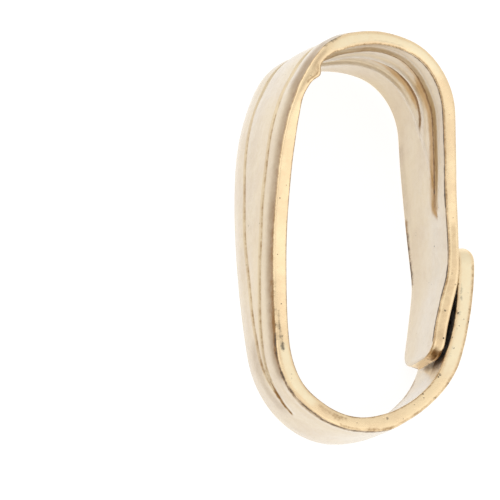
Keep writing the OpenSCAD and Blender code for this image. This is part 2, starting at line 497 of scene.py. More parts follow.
    def flute_distance(self, u: Array, h: Array, across: Array) -> Array:
        """Work out how far each point lies from the nearer flute's middle line.

        Between the two tips it is the distance to the line across the strip times the
        cosine of the line's slope. Past a tip it is the distance to the half circle
        that joins the two lines. Points between the flutes count as positive.

        Args:
            u: Places along the strip.
            h: Half widths there.
            across: Places across the strip, a row for each station.

        Returns:
            Signed distances, shaped as across.
        """
        length = self.line.length
        middle, half = self.flute_lines(u, h)
        slope = np.gradient(half, u * length)
        out = np.abs(across - middle[:, None])
        flat = (half[:, None] - out) / np.sqrt(1 + slope[:, None] ** 2)
        past = np.maximum(u - self.FRONT_TIP, self.BACK_TIP - u) * length
        tip = np.where(u < 0.4, self.BACK_TIP, self.FRONT_TIP)
        end_half = self.SPREAD.at(tip)
        round_end = end_half[:, None] - np.hypot(np.maximum(past, 0)[:, None], out)
        return np.where(past[:, None] > 0, round_end, flat)

    def relief(self, u: Array, h: Array, across: Array, rim: Array) -> tuple[Array, Array]:
        """Work out how far the outer and the inner face stand off the flat sheet.

        The sheet as a whole passes from its far edge's offset to its near edge's in a
        straight line, arched by a parabola, and is slightly uneven by a sum of sines.
        Both faces follow the flutes, a cosine hill across each line, flat-bottomed outside
        and wider inside, where the far one is faint low on the back. A lobe falls off
        towards its flutes and edges as a bell curve. The side edges are drawn in by the
        square of their nearness. Near the near edge the sheet is thicker or thinner, by
        the square of the nearness. The burr stands on the inner face, and the tab's outer
        face falls off at its end as a parabola.

        Args:
            u: Places along the strip.
            h: Half widths there.
            across: Places across the strip, a row for each station.
            rim: Distances to the rim, shaped as across.

        Returns:
            Offsets of the outer face and of the inner face, positive outwards.
        """
        away = np.abs(self.flute_distance(u, h, across))
        pressed = self.PRESS.at(u)[:, None]
        press = self.flute_depth * pressed
        reach = self.flute_width / 2 * self.squeeze(h)[:, None] * (0.55 + 0.45 * pressed)
        fall = self.crown * self.FOLD.at(u)[:, None]
        soft, edge_fall = fall * pressed, fall * bell(rim, 0, self.RIM_FALL)
        draw = (self.edge_draw * self.DRAW.at(u))[:, None]
        along = u[:, None] * self.line.length
        to_end = self.end * self.line.length - along
        place = across / h[:, None]
        near = 0.5 + 0.5 * place
        sheet = (
            self.NEAR.at(u)[:, None] * near + self.FAR.at(u)[:, None] * (1 - near)
            + self.bow * self.BOW.at(u)[:, None] * (1 - place**2)
            - draw * np.clip(1 - rim / self.draw_width, 0, 1) ** 2
            + self.UNEVEN * np.clip(rim / 0.3, 0, 1) * sum(
                size * np.sin(p * along + q * across + shift)
                for size, p, q, shift in self.WAVES
            )
        )
        thicker = 0.5 * self.THICKER.at(u)[:, None] * np.clip(place, 0, 1) ** 2
        outer = (
            sheet + thicker - press * smooth(1.6 * hill(away / (1.15 * reach)))
            + self.SHOULDER * hill((away - 1.3 * reach) / (0.5 * reach)) * pressed
            - soft * bell(away, 0, self.FLUTE_FALL) - edge_fall
            - self.tab_bevel * np.clip(1 - to_end / self.BEVEL_LENGTH, 0, 1) ** 2
        )
        crest = self.crest * self.CREST.at(u)[:, None]
        beside = across - self.CREST_PLACE.at(u)[:, None]
        faint = 0.8 * smooth((self.FAINT_BELOW - u[:, None]) / 0.07)
        nearer = smooth((across - self.flute_lines(u, h)[0][:, None]) / 0.4 + 0.5)
        ridge = self.INSIDE_SHARE * press * (1 - faint * (1 - nearer))
        inner = (
            sheet - thicker - ridge * hill(away / (self.RIDGE_RATIO * reach)) ** 1.2
            - crest * hill(beside / (0.7 * self.flute_width)) ** 1.2
            - 0.4 * edge_fall - self.burr.at(along, across)
        )
        return outer, inner

    def surface(self) -> "Surface":
        """Work out the whole skin of the strip.

        Every station is a ring: the outer face from one side to the other, the sheared
        band, the inner face back again and the other band. A face stands off the middle
        line by half the sheet, less a quarter circle within a lip of the rim. The bands
        bulge by a parabola.

        Returns:
            The points in the frame's axes and what each of them lies on.
        """
        u = self.places()
        h = self.half_width(u)
        middle, normal = self.spine(u)
        across, rim = self.flat_outline(u, h)
        outer, inner = self.relief(u, h, across, rim)
        inset = np.clip(self.lip - rim, 0, self.lip)
        half = self.sheet / 2 - self.lip + np.sqrt(self.lip**2 - inset**2)
        out, low = outer + half, inner - half
        step = np.arange(1, self.band + 1) / (self.band + 1)
        full = smooth(np.minimum(u, self.end - u) * 20)[:, None]
        bulge = self.BULGE * 4 * step * (1 - step) * full
        right = out[:, -1:] + (low[:, -1:] - out[:, -1:]) * step
        left = low[:, :1] + (out[:, :1] - low[:, :1]) * step
        edge = h[:, None] + bulge
        side = np.concatenate([across, edge, across[:, ::-1], -edge], 1)
        off = np.concatenate([out, right, low[:, ::-1], left], 1)
        flat = middle[:, None, :] + normal[:, None, :] * off[..., None]
        points = np.concatenate([side[..., None], flat], -1) @ self.turn.T
        lowest, highest = points.reshape(-1, 3).min(0), points.reshape(-1, 3).max(0)
        self.seat = np.array([*(lowest + highest)[:2] / 2, lowest[2]])
        band = np.ones_like(right)
        width = self.sheet - 2 * self.lip
        press = np.stack([self.PRESS.at(u), self.CREST.at(u)], -1)
        around = np.concatenate(
            [rim, -width * step * band, -width - rim[:, ::-1], -width * (1 - step) * band], 1
        )
        return Surface(
            points=points - self.seat,
            along=np.broadcast_to((u * self.line.length)[:, None], side.shape),
            across=side,
            around=around,
            rows=self.rows(u, h, side),
            press=np.broadcast_to(press[:, None], (*side.shape, 2)),
            half=np.broadcast_to(h[:, None], side.shape),
            lip=self.lip,
            columns=across.shape[1],
            band=self.band,
            lip_steps=self.LIP_STEPS,
        )

    def rows(self, u: Array, h: Array, side: Array) -> Array:
        """Work out how far points lie from the near flute, the far one and the crest.

        Args:
            u: Places along the strip.
            h: Half widths there.
            side: Places across the strip, a row for each station.

        Returns:
            Three distances across the strip for each point, positive on the near side.
            Past the flutes' tips they grow with the way from the tip.
        """
        middle, half = self.flute_lines(u, h)
        past = np.maximum(u - self.FRONT_TIP, self.BACK_TIP - u)
        past = np.clip(past, 0, None) * self.line.length
        lines = np.stack([middle + half, middle - half, self.CREST_PLACE.at(u)], -1)
        away = side[..., None] - lines[:, None]
        return away + np.sign(away) * past[:, None, None]


@dataclass
class Surface:
    """The skin of the strip as a grid of points, with where each point lies.

    Attributes:
        points: Points in the frame's axes, stations by ring by three.
        along, across: Place on the flat strip.
        around: Way round the rim: positive on the outer face, 0 at the outer lip,
            negative on the sheared band and below minus its width on the inner face.
        rows: Distances across to the near flute, the far flute and the crest.
        press: Depth of the flutes and height of the crest there, each from 0 to 1.
        half: Half the strip's width there.
        lip: Width of the rounded lips.
        columns: Count of columns of a face.
        band: Count of points within a sheared band.
        lip_steps: Count of columns on a rounded lip.
    """

    points: Array
    along: Array
    across: Array
    around: Array
    rows: Array
    press: Array
    half: Array
    lip: float
    columns: int
    band: int
    lip_steps: int

    def faces(self) -> tuple[Array, Array]:
        """Join the rings with four-sided faces and close the two ends.

        An end is a grid between the last outer and inner points, whose inmost points
        are those that spread adds.

        Returns:
            The corner numbers, four to a face, and for each face its Part.
        """
        n, ring = self.along.shape
        m, rows = self.columns, self.band
        j = np.arange(ring)
        k = (j + 1) % ring
        i = np.arange(n - 1)[:, None] * ring
        walls = np.stack([i + k, i + j, i + ring + j, i + ring + k], -1).reshape(-1, 4)
        lips = self.lip_steps
        sheared = (j < lips) | (j >= m - 1 - lips) & (j < m + rows + lips)
        sheared |= j >= 2 * m + rows - 1 - lips
        column = np.arange(m)
        corners = [walls]
        for end, first in ((0, n * ring), (n - 1, n * ring + rows * (m - 2))):
            grid = np.zeros((rows + 2, m), int)
            grid[0] = column + end * ring
            grid[-1] = 2 * m + rows - 1 - column + end * ring
            grid[1:-1, 0] = 2 * m + 2 * rows - 1 - np.arange(rows) + end * ring
            grid[1:-1, -1] = m + np.arange(rows) + end * ring
            grid[1:-1, 1:-1] = first + np.arange(rows * (m - 2)).reshape(rows, m - 2)
            cap = np.stack([grid[:-1, :-1], grid[:-1, 1:], grid[1:, 1:], grid[1:, :-1]], -1)
            corners.append((cap if end == 0 else cap[..., ::-1]).reshape(-1, 4))
        kind = np.concatenate([np.tile(sheared, n - 1), np.ones(len(corners[1]) * 2, bool)])
        return np.concatenate(corners), kind.astype(np.int32)

    def spread(self, values: Array) -> Array:
        """Give the values at all the mesh's points, those of the ends included.

        A value within an end is a straight blend of those on the outer and inner face.

        Args:
            values: A value for each point of the grid, in one or three parts.

        Returns:
            The values in the order of the mesh's points.
        """
        m, rows = self.columns, self.band
        share = (np.arange(1, rows + 1) / (rows + 1)).reshape(-1, *[1] * (values.ndim - 1))
        out = [values.reshape(-1, *values.shape[2:])]
        for end in (0, -1):
            top = values[end, 1 : m - 1]
            low = values[end, 2 * m + rows - 2 - np.arange(m - 2)]
            out.append((top + (low - top) * share).reshape(-1, *values.shape[2:]))
        return np.concatenate(out)


class SoilAndLight(Enum):
    """What a stroke paints on the metal: real stains and soiling, painted shade and painted
    sheen.
    """

    # The first and third kinds hold real soiling and painted shade in creases, gaps and along
    # lips; the second is a painted highlight; the fourth is painted shade.
    STAIN = "stain"
    HAZE = "haze"
    GRIME = "grime"
    SHADE = "shade"
    STREAK = "streak"


class Rail(Enum):
    """The face a stroke lies on and the line that its places across are counted from."""

    OUTER = "outer face, from the strip's middle line"
    OUTER_NEAR = "outer face, inwards from the near edge"
    INNER = "inner face, from the strip's middle line"
    INNER_NEAR = "inner face, inwards from the near edge"
    INNER_FAR = "inner face, inwards from the far edge"
    FLUTE = "inner face, from the near flute"
    CREST = "inner face, from the crest"
    BAND = "sheared band of the near edge, inwards from its outer lip"
    BAND_FAR = "sheared band of the far edge, inwards from its outer lip"
    LIP = "rounded outer lip of the near edge, inwards from the edge"

    def places(self, skin: "Surface", outer: Array) -> tuple[Array, Array]:
        """Work out the places across that the rail counts, and where it holds.

        Args:
            skin: The strip's surface.
            outer: 1 on the outer face, 0 on the inner one, 0.5 on the bands.

        Returns:
            A place for each point, and 1 where the point is on the rail's face.
        """
        if self in (Rail.BAND, Rail.BAND_FAR):
            side = 1 if self is Rail.BAND else -1
            return -skin.around, (outer == 0.5) & (skin.across * side > 0)
        near, far = skin.half - skin.across, skin.half + skin.across
        flat = np.minimum(near, far) > skin.lip - 1e-6
        if self is Rail.LIP:
            return near, (outer == 1) & ~flat & (skin.across > 0)
        counted = {
            Rail.OUTER: skin.across, Rail.INNER: skin.across, Rail.OUTER_NEAR: near,
            Rail.INNER_NEAR: near, Rail.INNER_FAR: far, Rail.FLUTE: skin.rows[..., 0],
            Rail.CREST: skin.rows[..., 2],
        }[self]
        return counted, flat & (outer == (1 if self in (Rail.OUTER, Rail.OUTER_NEAR) else 0))


@dataclass(frozen=True)
class Stroke:
    """A soft brush stroke of soiling, painted shade or painted sheen on one face of the strip.

    Attributes:
        soil: What it paints.
        rail: The face it is on and the line it is counted from.
        path: Its corners, in millimetres along and across the flat strip.
        width: Half width of its bell curve.
        strength: Amount on its middle line.
    """

    soil: SoilAndLight
    rail: Rail
    path: tuple[tuple[float, float], ...]
    width: float
    strength: float

    def at(self, skin: "Surface", outer: Array) -> Array:
        """Work out the amount of soil, a bell curve of the distance to the path.

        Args:
            skin: The strip's surface.
            outer: 1 on the outer face, 0 on the inner one, 0.5 on the bands.

        Returns:
            An amount from 0 to 1 for each point.
        """
        across, held = self.rail.places(skin, outer)
        corners = np.array(self.path)
        away = np.full(across.shape, 99.0)
        for a, b in zip(corners[:-1], corners[1:]):
            way = b - a
            t = ((skin.along - a[0]) * way[0] + (across - a[1]) * way[1]) / (way @ way)
            t = np.clip(t, 0, 1)
            miss = np.hypot(skin.along - a[0] - t * way[0], across - a[1] - t * way[1])
            away = np.minimum(away, miss)
        return self.strength * bell(away, 0, self.width) * held


class Part(Enum):
    """The two kinds of surface of the strip, by their material's place."""

    FACE = 0
    BAND = 1


class Board:
    """A node board that a material, a group or the world is laid out on."""

    def __init__(self, tree: Any) -> None:
        """Keep the node tree and clear it."""
        self.tree = tree
        self.tree.nodes.clear()

    def add(self, kind: str, inputs: dict[Any, Any] | None = None, **settings: Any) -> Any:
        """Place a node.

        Args:
            kind: The node's type, without its ShaderNode prefix.
            inputs: A value or an output socket for each named input.
            settings: The node's own settings.

        Returns:
            The node.
        """
        node = self.tree.nodes.new(kind if kind.startswith("Node") else "ShaderNode" + kind)
        for name, value in settings.items():
            setattr(node, name, value)
        for name, value in (inputs or {}).items():
            self.feed(node.inputs[name], value)
        return node

    def feed(self, socket: Any, value: Any) -> None:
        """Set a socket to a value, or link an output to it.

        Args:
            socket: The input to fill.
            value: A number, a vector, a colour or an output socket.
        """
        if isinstance(value, bpy.types.NodeSocket):
            self.tree.links.new(value, socket)
        else:
            socket.default_value = value

    def sum_up(self, operation: str, *values: Any, clamp: bool = False) -> Any:
        """Work out one Math node.

        Args:
            operation: The node's operation.
            values: Numbers or sockets.
            clamp: Whether the result is held between 0 and 1.

        Returns:
            The result's socket.
        """
        node = self.add("Math", dict(enumerate(values)), operation=operation, use_clamp=clamp)
        return node.outputs[0]

    def times(self, a: Any, b: Any, clamp: bool = False) -> Any:
        """Multiply two values, and hold the result between 0 and 1 if asked."""
        return self.sum_up("MULTIPLY", a, b, clamp=clamp)

    def times_plus(self, a: Any, b: Any, c: Any) -> Any:
        """Multiply two values and add a third."""
        return self.sum_up("MULTIPLY_ADD", a, b, c)

    def most(self, a: Any, b: Any) -> Any:
        """Give the larger of two values."""
        return self.sum_up("MAXIMUM", a, b)

    def scaled(self, place: Any, by: tuple[float, ...]) -> Any:
        """Multiply a place by a number for each axis."""
        return self.add("VectorMath", {0: place, 1: by}, operation="MULTIPLY").outputs[0]

    def mark(self, name: str, output: str = "Vector") -> Any:
        """Read an attribute of the mesh's points."""
        return self.add("Attribute", attribute_name=name).outputs[output]

    def finish(self, inputs: dict[str, Any]) -> None:
        """Place the Principled shader and join it to the material's output."""
        shader = self.add("BsdfPrincipled", inputs)
        self.add("OutputMaterial", {"Surface": shader.outputs[0]})

    def blend(self, share: Any, a: Any, b: Any, mode: str = "MIX") -> Any:
        """Mix two colours and give the result's socket."""
        node = self.add("Mix", {0: share, 6: a, 7: b}, data_type="RGBA", blend_type=mode)
        return node.outputs[2]

    def ramp(
        self, value: Any, low: float, high: float, to_low: float = 0.0, to_high: float = 1.0
    ) -> Any:
        """Carry a value smoothly from one range to another.

        Args:
            value: The socket to read.
            low, high: Ends of its range, in either order.
            to_low, to_high: What they become.

        Returns:
            The result's socket.
        """
        ends = {"From Min": low, "From Max": high, "To Min": to_low, "To Max": to_high}
        node = self.add("MapRange", {"Value": value, **ends}, interpolation_type="SMOOTHSTEP")
        return node.outputs[0]

    def peak(self, value: Any, place: float, width: float, height: float) -> Any:
        """Give a smooth peak of a height and half width over one place of a value."""
        away = self.sum_up("ABSOLUTE", self.sum_up("SUBTRACT", value, place))
        return self.ramp(away, 0.0, width, height, 0.0)

    def noise(self, place: Any, scale: float, detail: float = 2.0, rough: float = 0.5) -> Any:
        """Give the value of a noise over the places."""
        inputs = {"Vector": place, "Scale": scale, "Detail": detail, "Roughness": rough}
        return self.add("TexNoise", inputs).outputs[0]


class Group:
    """A shader node group that is built once and placed in each material."""

    name = ""
    takes: dict[str, str] = {}
    gives: dict[str, str] = {}

    def tree(self) -> Any:
        """Give the group's node tree, made on first use.

        Returns:
            The node tree, with the named inputs and outputs.
        """
        made = bpy.data.node_groups.get(self.name)
        if made is None:
            made = bpy.data.node_groups.new(self.name, "ShaderNodeTree")
            for way, sockets in (("INPUT", self.takes), ("OUTPUT", self.gives)):
                for name, kind in sockets.items():
                    made.interface.new_socket(name, in_out=way, socket_type="NodeSocket" + kind)
            board = Board(made)
            taken = board.add("NodeGroupInput")
            given = board.add("NodeGroupOutput")
            for name, value in self.lay_out(board, taken.outputs).items():
                board.feed(given.inputs[name], value)
        return made

    def lay_out(self, board: Board, taken: Any) -> dict[str, Any]:
        """Place the group's nodes.

        Args:
            board: The group's board.
            taken: Its inputs by name.

        Returns:
            What each of its outputs puts out.
        """
        raise NotImplementedError

    def place(self, board: Board, **inputs: Any) -> Any:
        """Place the group in a material.

        Args:
            board: The material's board.
            inputs: A value or socket for each input, spaces written as underscores.

        Returns:
            The group node's outputs.
        """
        node = board.add("Group", node_tree=self.tree())
        for name, value in inputs.items():
            board.feed(node.inputs[name.replace("_", " ")], value)
        return node.outputs


class Pits(Group):
    """Small round pits in patches: cells whose middles are near enough to the place."""

    name = "Pits in the metal"
    takes = {"Place": "Vector", "Size": "Float", "Amount": "Float"}
    gives = {"Pit": "Float"}

    def lay_out(self, board: Board, taken: Any) -> dict[str, Any]:
        """Place the nodes: a cell's distance under a radius that its own colour sets.

        Args:
            board: The group's board.
            taken: Its inputs by name.

        Returns:
            What each of its outputs puts out.
        """
        scale = board.sum_up("DIVIDE", 1.0, taken["Size"])
        wobble = board.add("TexNoise", {"Vector": taken["Place"], "Scale": 9.0, "Detail": 2.0})
        offset = board.scaled(wobble.outputs[1], (0.05, 0.05, 0.05))
        moved = board.add("VectorMath", {0: taken["Place"], 1: offset})
        cells = board.add("TexVoronoi", {"Vector": moved.outputs[0], "Scale": scale})
        pick = board.add("SeparateColor", {0: cells.outputs["Color"]}).outputs[0]
        patch = board.noise(taken["Place"], 1.3, 2.0)
        chance = board.times(taken["Amount"], board.ramp(patch, 0.35, 0.68, 0.15, 1.6))
        chosen = board.sum_up("LESS_THAN", pick, chance)
        radius = board.times_plus(pick, 0.5, 0.14)
        depth = board.ramp(board.sum_up("SUBTRACT", radius, cells.outputs["Distance"]), 0.0, 0.1)
        return {"Pit": board.times(chosen, depth, clamp=True)}


class FluteLines(Group):
    """Dark soiling and painted shade, and painted highlights, along the flutes and the crest.

    Each row holds a line (0 the near flute, 1 the far one, 2 the crest), a place across
    from it, a half width, and how much of the dark line and of the highlight lie there.
    """

    name = "Lines along the flutes"
    takes = {"Rows": "Vector", "Press": "Vector", "Outside": "Float"}
    gives = {"Stain": "Float", "Haze": "Float"}
    OUTSIDE = tuple(
        (line, *row) for line in (0, 1)
        for row in ((-0.08, 0.05, 0.5, 0.0), (0.02, 0.08, 0.0, 0.45), (0.13, 0.05, 0.3, 0.0))
    )
    INSIDE = ((0, 0.0, 0.08, 1.0, 0.0), (0, 0.22, 0.16, 0.0, 0.75), (1, -0.12, 0.16, 0.25, 0.0),
              (1, 0.05, 0.16, 0.0, 0.6), (2, -0.31, 0.12, 0.9, 0.0), (2, 0.05, 0.15, 0.0, 1.0))

    def lay_out(self, board: Board, taken: Any) -> dict[str, Any]:
        """Place the nodes: a peak for each row of line, place, width, dark line and highlight.

        Args:
            board: The group's board.
            taken: Its inputs by name.

        Returns:
            What each of its outputs puts out.
        """
        rows = board.add("SeparateXYZ", {0: taken["Rows"]}).outputs
        press = board.add("SeparateXYZ", {0: taken["Press"]}).outputs
        flutes = board.ramp(press[0], 0.02, 0.3)
        crest = board.ramp(press[1], 0.0, 0.6)
        inside = board.sum_up("SUBTRACT", 1.0, taken["Outside"])
        gathered = {"Stain": 0.0, "Haze": 0.0}
        for table, share in ((self.OUTSIDE, taken["Outside"]), (self.INSIDE, inside)):
            for line, place, width, stain, haze in table:
                held = board.times(share, crest if line == 2 else flutes)
                for name, height in (("Stain", stain), ("Haze", haze)):
                    if height:
                        peak = board.peak(rows[line], place, width, height)
                        peak = board.times(peak, held)
                        gathered[name] = board.most(gathered[name], peak)
        return gathered


class TarnishAndLight(Group):
    """The gold's mottled colour under stains and soiling, painted shade and painted sheen.

    Each layer holds a soil, its colour, how much noise breaks it up, the amounts at which
    it begins and is full, and the amount of soil below which it fades out.
    """

    name = "Mottled gold with soiling and painted light"
    takes = {
        "Place": "Vector", "Gold": "Color", "Warm": "Color", "Film": "Color",
        "Brown": "Color", "Dark": "Color", "Shadow": "Color", "Amber": "Color",
        "Stain": "Float", "Haze": "Float", "Grime": "Float", "Shade": "Float", "Streak": "Float",
        "Mottle": "Float",
    }
    gives = {"Colour": "Color", "Dullness": "Float", "Dirt and shade": "Float", "Crust and shade": "Float"}
    LAYERS = (
        ("Haze", "Film", 1.1, 0.0, 1.0, 0.15), ("Shade", "Shadow", 0.5, 0.0, 1.0, 0.1),
        ("Streak", "Amber", 0.8, 0.0, 0.9, 0.1), ("Stain", "Brown", 1.6, 0.1, 1.0, 0.15),
        ("Grime", "Dark", 2.0, 0.15, 0.85, 0.12),
    )

    def lay_out(self, board: Board, taken: Any) -> dict[str, Any]:
        """Place the nodes: each soil's amount is broken up by noise and laid in turn.

        Args:
            board: The group's board.
            taken: Its inputs by name.

        Returns:
            What each of its outputs puts out.
        """
        wide = board.noise(taken["Place"], 0.9, 3.0, 0.55)
        mid = board.noise(taken["Place"], 3.1, 4.0, 0.6)
        fine = board.noise(taken["Place"], 11.0, 3.0, 0.6)
        grain = board.times_plus(mid, 0.6, board.times(fine, 0.4))
        warm = board.times(board.ramp(wide, 0.38, 0.66), taken["Mottle"])
        base = board.blend(warm, taken["Gold"], taken["Warm"])
        speck = board.times(board.ramp(grain, 0.56, 0.66), taken["Mottle"])
        base = board.blend(board.times(speck, 0.5), base, taken["Warm"])
        rough = board.sum_up("SUBTRACT", grain, 0.5)
        laid = {}
        for soil, colour, broken, low, high, least in self.LAYERS:
            amount = board.ramp(board.times_plus(rough, broken, taken[soil]), low, high)
            laid[soil] = board.times(amount, board.ramp(taken[soil], 0.0, least))
            base = board.blend(laid[soil], base, taken[colour])
        dull = board.most(laid["Haze"], board.most(laid["Stain"], laid["Grime"]))
        # Soiling and painted shade alike take away the clear skin.
        dirt_and_shade = laid["Grime"]
        for soil, share in (("Stain", 1.2), ("Streak", 1.3), ("Shade", 0.6)):
            dirt_and_shade = board.most(dirt_and_shade, board.times(laid[soil], share, clamp=True))
        return {"Colour": base, "Dullness": dull, "Dirt and shade": dirt_and_shade, "Crust and shade": laid["Grime"]}


class Wear(Group):
    """The fine relief of worn metal: lines along the strip, ripples and pits."""

    name = "Fine wear"
    takes = {"Place": "Vector", "Strip": "Vector", "Lines": "Float", "Pit": "Float"}
    gives = {"Height": "Float", "Unevenness": "Float"}

    def lay_out(self, board: Board, taken: Any) -> dict[str, Any]:
        """Place the nodes: a noise drawn out along the strip, a plain one, less the pits.

        Args:
            board: The group's board.
            taken: Its inputs by name.

        Returns:
            What each of its outputs puts out.
        """
        drawn = board.scaled(taken["Strip"], (0.7, 9.0, 9.0))
        lines = board.noise(drawn, 1.0, 3.0, 0.6)
        ripple = board.noise(taken["Place"], 4.0, 3.0, 0.5)
        grit = board.noise(taken["Place"], 16.0, 3.0, 0.6)
        height = board.times(lines, taken["Lines"])
        height = board.times_plus(ripple, 1.0, height)
        height = board.times_plus(grit, 0.22, height)
        height = board.times_plus(taken["Pit"], -1.4, height)
        uneven = board.times_plus(ripple, 0.6, board.times(grit, 0.4))
        return {"Height": height, "Unevenness": uneven}


@dataclass(frozen=True)
class WornGold:
    """A worn gold-coloured finish of one part of the strip, with painted shade and sheen in its
    colour.

    Attributes:
        part: The surface that it covers.
        gold, warm, film, brown, dark, shade, amber: Its colours, clean to dirty.
        roughness: Lowest and highest roughness of the clean metal.
        mottle, lines, pits: Amounts of colour mottling, drawn lines and pits.
        coat, coat_ior, coat_roughness: The clear skin's weight, index and roughness.
        relief: Depth of the fine relief, in millimetres.
        lip_shade: Strength of the thin dark line along the lips.
    """

    part: Part
    # The faces' gold is darker than the bands', so the two are a shaded and a lit copy of one
    # metal: painted shade and painted light.
    gold: Colour = (0.7, 0.56, 0.35, 1.0)
    warm: Colour = (0.62, 0.47, 0.3, 1.0)
    film: Colour = (0.81, 0.72, 0.59, 1.0)
    brown: Colour = (0.3, 0.16, 0.055, 1.0)
    dark: Colour = (0.035, 0.022, 0.012, 1.0)
    shade: Colour = (0.35, 0.23, 0.115, 1.0)
    amber: Colour = (0.52, 0.31, 0.11, 1.0)
    roughness: tuple[float, float] = (0.3, 0.42)
    mottle: float = 0.55
    lines: float = 0.5
    pits: float = 0.1
    coat: float = 1.0
    coat_ior: float = 1.8
    coat_roughness: float = 0.25
    relief: float = 0.004
    lip_shade: float = 0.6

    def material(self) -> bpy.types.Material:
        """Build the finish as a material.

        Returns:
            The material, a Principled metal fed by the shared groups.
        """
        made = bpy.data.materials.new(f"worn_gold_{self.part.name.lower()}")
        made.use_nodes = True
        board = Board(made.node_tree)
        place = board.scaled(board.add("TexCoord").outputs["Object"], (1 / MM,) * 3)
        strip = board.mark("strip")
        around = board.add("SeparateXYZ", {0: strip}).outputs[2]
        soil = self.settle(board, around, {s: board.mark(s.value, "Fac") for s in SoilAndLight})
        fine = Pits().place(board, Place=place, Size=0.16, Amount=self.pits)
        coarse = Pits().place(
            board, Place=place, Size=0.3,
            Amount=board.times_plus(soil[SoilAndLight.GRIME], 0.6, self.pits * 0.4),
        )
        pit = board.most(fine["Pit"], coarse["Pit"])
        soil[SoilAndLight.GRIME] = board.most(soil[SoilAndLight.GRIME], board.times(pit, 0.5))
        tarnish_and_light = TarnishAndLight().place(
            board, Place=place, Gold=self.gold, Warm=self.warm, Film=self.film,
            Brown=self.brown, Dark=self.dark, Shadow=self.shade, Amber=self.amber,
            Mottle=self.mottle, **{s.value.capitalize(): soil[s] for s in SoilAndLight},
        )
        wear = Wear().place(board, Place=place, Strip=strip, Lines=self.lines, Pit=pit)
        low, high = self.roughness
        clean = board.ramp(wear["Unevenness"], 0.35, 0.65, low, high)
        rough = board.times_plus(tarnish_and_light["Dullness"], 0.22, clean)
        bump = board.add("Bump", {"Height": wear["Height"], "Distance": self.relief * MM})
        # The clear skin thins under soiling and painted shade, and the metal dims under the
        # darkest marks, such as the painted shadow in the lap.
        coat = board.ramp(tarnish_and_light["Dirt and shade"], 0.0, 1.0, self.coat, 0.02)
        metal = board.ramp(tarnish_and_light["Crust and shade"], 0.2, 1.0, 1.0, 0.1)
        board.finish({
            "Base Color": tarnish_and_light["Colour"], "Metallic": metal, "Roughness": rough,
            "Coat Weight": coat, "Coat Roughness": self.coat_roughness,
            "Coat IOR": self.coat_ior, "Normal": bump.outputs[0],
        })
        return made

    def settle(self, board: Board, around: Any, soil: dict[SoilAndLight, Any]) -> dict[SoilAndLight, Any]:
        """Add soiling, painted shade and painted highlights along the flutes, and painted shade
        at the lips.

        Args:
            board: The material's board.
            around: Way round the rim.
            soil: Amount of each soil that the strokes leave.

        Returns:
            The amounts with these lines added.
        """
        stain, haze = soil[SoilAndLight.STAIN], soil[SoilAndLight.HAZE]
        if self.part is Part.FACE:
            # Along the flutes: dark lines of soiling and painted shade in the creases, and pale
            # painted highlights beside them.
            lines = FluteLines().place(
                board, Rows=board.mark("rows"), Press=board.mark("press"),
                Outside=board.ramp(around, -0.2, 0.0),
            )
            stain = board.most(stain, lines["Stain"])
            haze = board.most(haze, lines["Haze"])
        else:
            # Painted shade: a thin dark line along each lip of the band, where its rounded edge
            # turns away.
            outer = board.peak(around, 0.035, 0.03, self.lip_shade)
            inner = board.peak(around, -0.325, 0.03, self.lip_shade)
            stain = board.most(stain, board.most(outer, inner))
        return {**soil, SoilAndLight.STAIN: stain, SoilAndLight.HAZE: haze}
